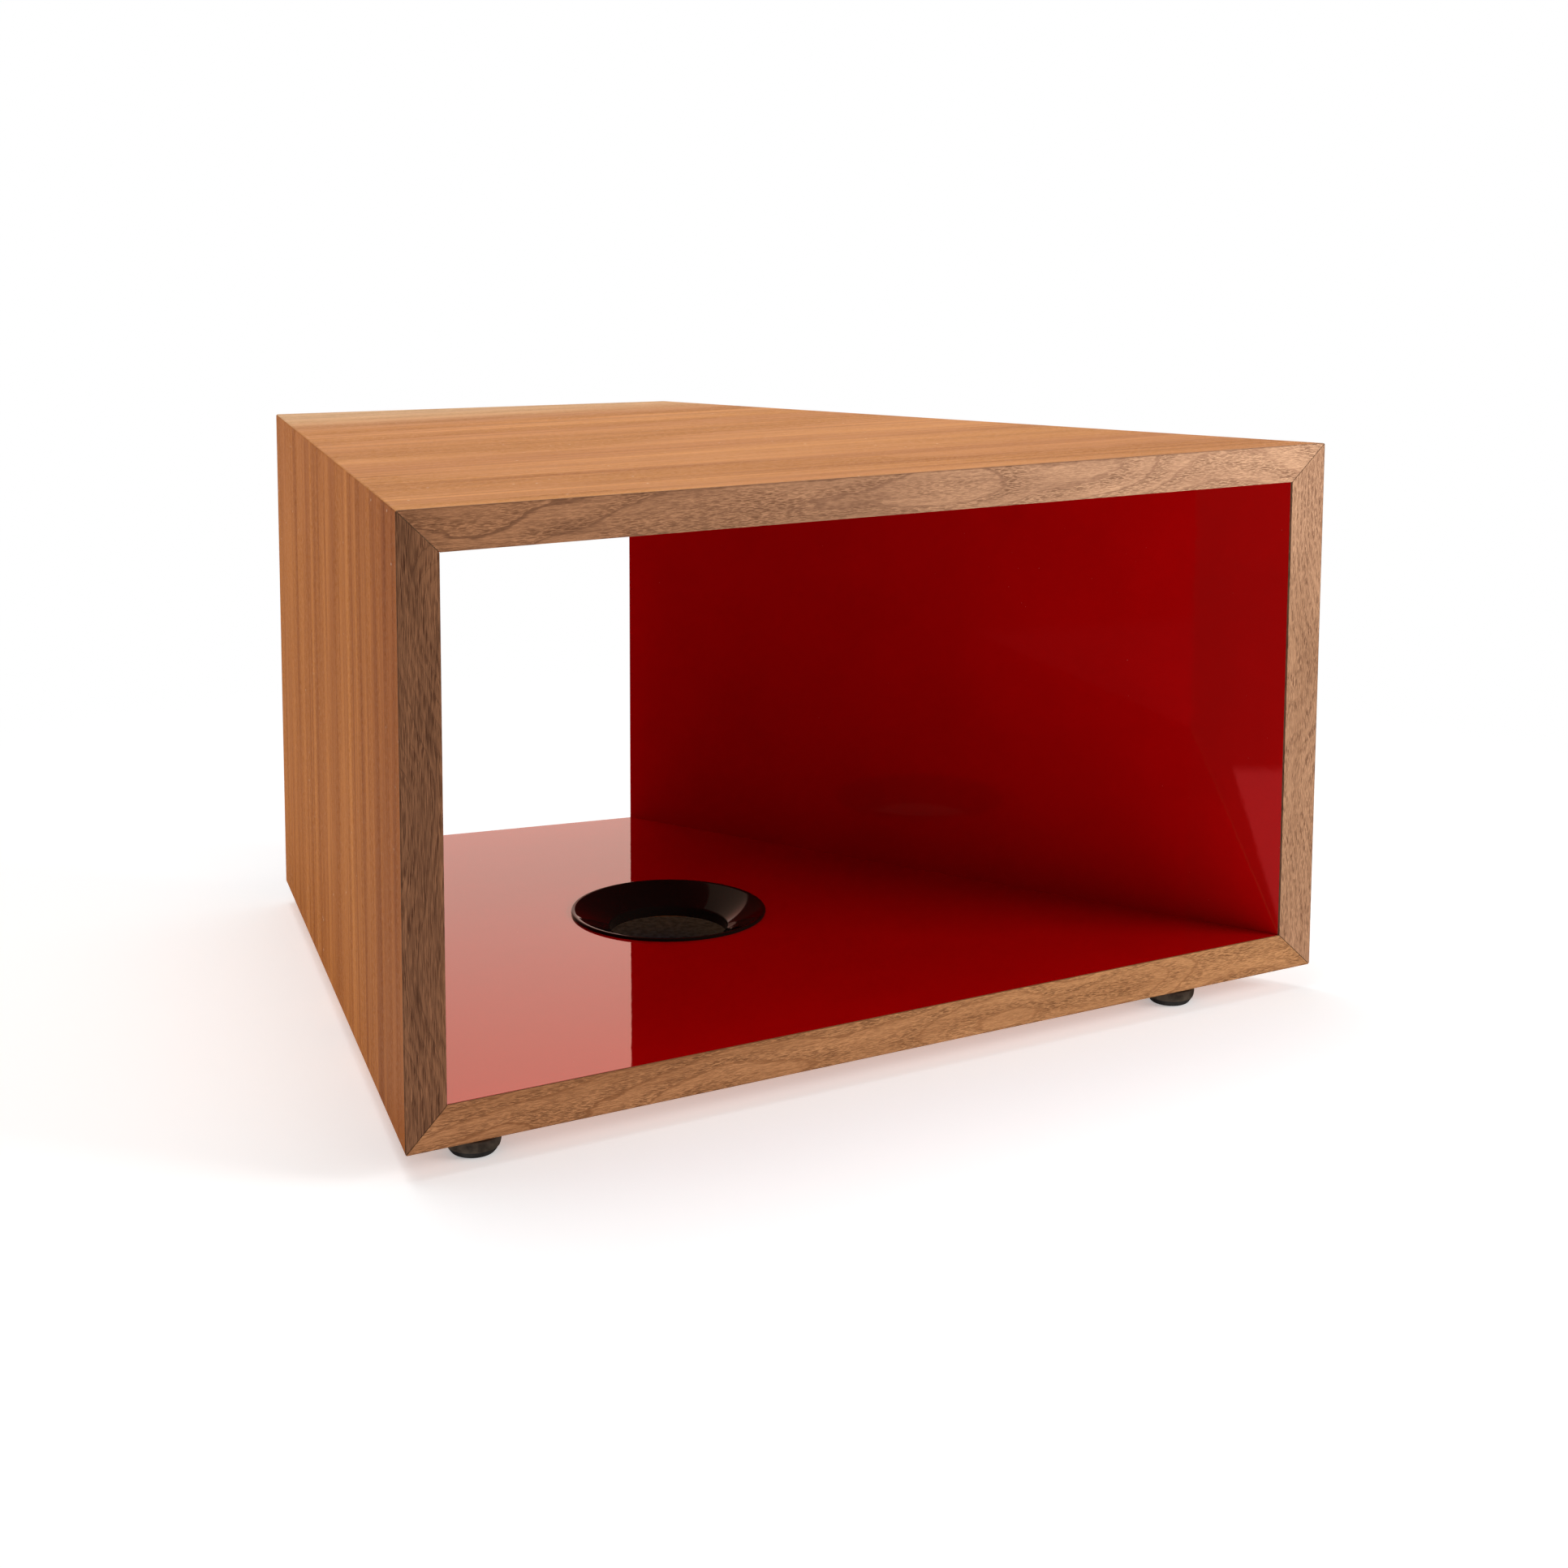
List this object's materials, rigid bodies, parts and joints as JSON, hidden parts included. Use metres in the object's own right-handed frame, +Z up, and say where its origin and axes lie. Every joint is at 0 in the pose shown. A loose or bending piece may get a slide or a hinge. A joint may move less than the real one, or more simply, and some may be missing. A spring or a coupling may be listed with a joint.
{
  "type": "open storage box",
  "caption": "Low storage box of mitred walnut-veneered boards, open at front and back, red gloss inside, with a black cable port in its floor and screw-in levelling feet.",
  "frame": {"origin": "on the ground, under the middle of the bounding box", "axes": "+X along the front edge to the right, +Y from the wide front opening to the back, +Z up"},
  "size_m": [0.81, 0.6406, 0.46],
  "materials": {
    "walnut_veneer": "satin lacquered walnut veneer",
    "walnut_lipping": "open-pored walnut lipping",
    "board_core": "raw particle board",
    "beech": "pressed beech",
    "red_laminate": "mirror gloss red laminate",
    "black_gloss": "gloss black moulding",
    "black_foot": "satin black moulding",
    "black_rubber": "matt black rubber",
    "zinc_steel": "zinc-plated steel"
  },
  "bodies": {
    "carcass": {"top_core": "board_core", "top_veneer": "walnut_veneer", "top_laminate": "red_laminate", "top_front_lipping": "walnut_lipping", "top_back_lipping": "walnut_lipping", "bottom_core": "board_core", "bottom_veneer": "walnut_veneer", "bottom_laminate": "red_laminate", "bottom_front_lipping": "walnut_lipping", "bottom_back_lipping": "walnut_lipping", "left_wall_core": "board_core", "left_wall_veneer": "walnut_veneer", "left_wall_laminate": "red_laminate", "left_wall_front_lipping": "walnut_lipping", "left_wall_back_lipping": "walnut_lipping", "right_wall_core": "board_core", "right_wall_veneer": "walnut_veneer", "right_wall_laminate": "red_laminate", "right_wall_front_lipping": "walnut_lipping", "right_wall_back_lipping": "walnut_lipping", "mitre_biscuits": "beech", "cable_port_ring": "black_gloss", "threaded_inserts": "zinc_steel"},
    "foot_front_left": {"foot_base_front_left": "black_foot", "foot_pad_front_left": "black_rubber"},
    "stem_front_left": {"foot_stem_front_left": "zinc_steel"},
    "foot_front_right": {"foot_base_front_right": "black_foot", "foot_pad_front_right": "black_rubber"},
    "stem_front_right": {"foot_stem_front_right": "zinc_steel"},
    "foot_back_left": {"foot_base_back_left": "black_foot", "foot_pad_back_left": "black_rubber"},
    "stem_back_left": {"foot_stem_back_left": "zinc_steel"},
    "foot_back_right": {"foot_base_back_right": "black_foot", "foot_pad_back_right": "black_rubber"},
    "stem_back_right": {"foot_stem_back_right": "zinc_steel"}
  },
  "joints": [
    {"name": "lift_front_left", "type": "slide", "parent": "carcass", "child": "foot_front_left", "axis": [0, 0, -1], "range_m": [0, 0.01]},
    {"name": "turn_front_left", "type": "hinge", "parent": "foot_front_left", "child": "stem_front_left", "pos_m": [-0.342, -0.28834, 0.0138], "axis": [0, 0, -1], "range_deg": [0, 2400]},
    {"name": "lift_front_right", "type": "slide", "parent": "carcass", "child": "foot_front_right", "axis": [0, 0, -1], "range_m": [0, 0.01]},
    {"name": "turn_front_right", "type": "hinge", "parent": "foot_front_right", "child": "stem_front_right", "pos_m": [0.282, -0.28834, 0.0138], "axis": [0, 0, -1], "range_deg": [0, 2400]},
    {"name": "lift_back_left", "type": "slide", "parent": "carcass", "child": "foot_back_left", "axis": [0, 0, -1], "range_m": [0, 0.01]},
    {"name": "turn_back_left", "type": "hinge", "parent": "foot_back_left", "child": "stem_back_left", "pos_m": [-0.21169, 0.27875, 0.0138], "axis": [0, 0, -1], "range_deg": [0, 2400]},
    {"name": "lift_back_right", "type": "slide", "parent": "carcass", "child": "foot_back_right", "axis": [0, 0, -1], "range_m": [0, 0.01]},
    {"name": "turn_back_right", "type": "hinge", "parent": "foot_back_right", "child": "stem_back_right", "pos_m": [0.03528, 0.23905, 0.0138], "axis": [0, 0, -1], "range_deg": [0, 2400]}
  ],
  "couplings": [
    {"joint": "turn_front_left", "follows": "lift_front_left", "rad_per_m": 4188.8},
    {"joint": "turn_front_right", "follows": "lift_front_right", "rad_per_m": 4188.8},
    {"joint": "turn_back_left", "follows": "lift_back_left", "rad_per_m": 4188.8},
    {"joint": "turn_back_right", "follows": "lift_back_right", "rad_per_m": 4188.8}
  ]
}
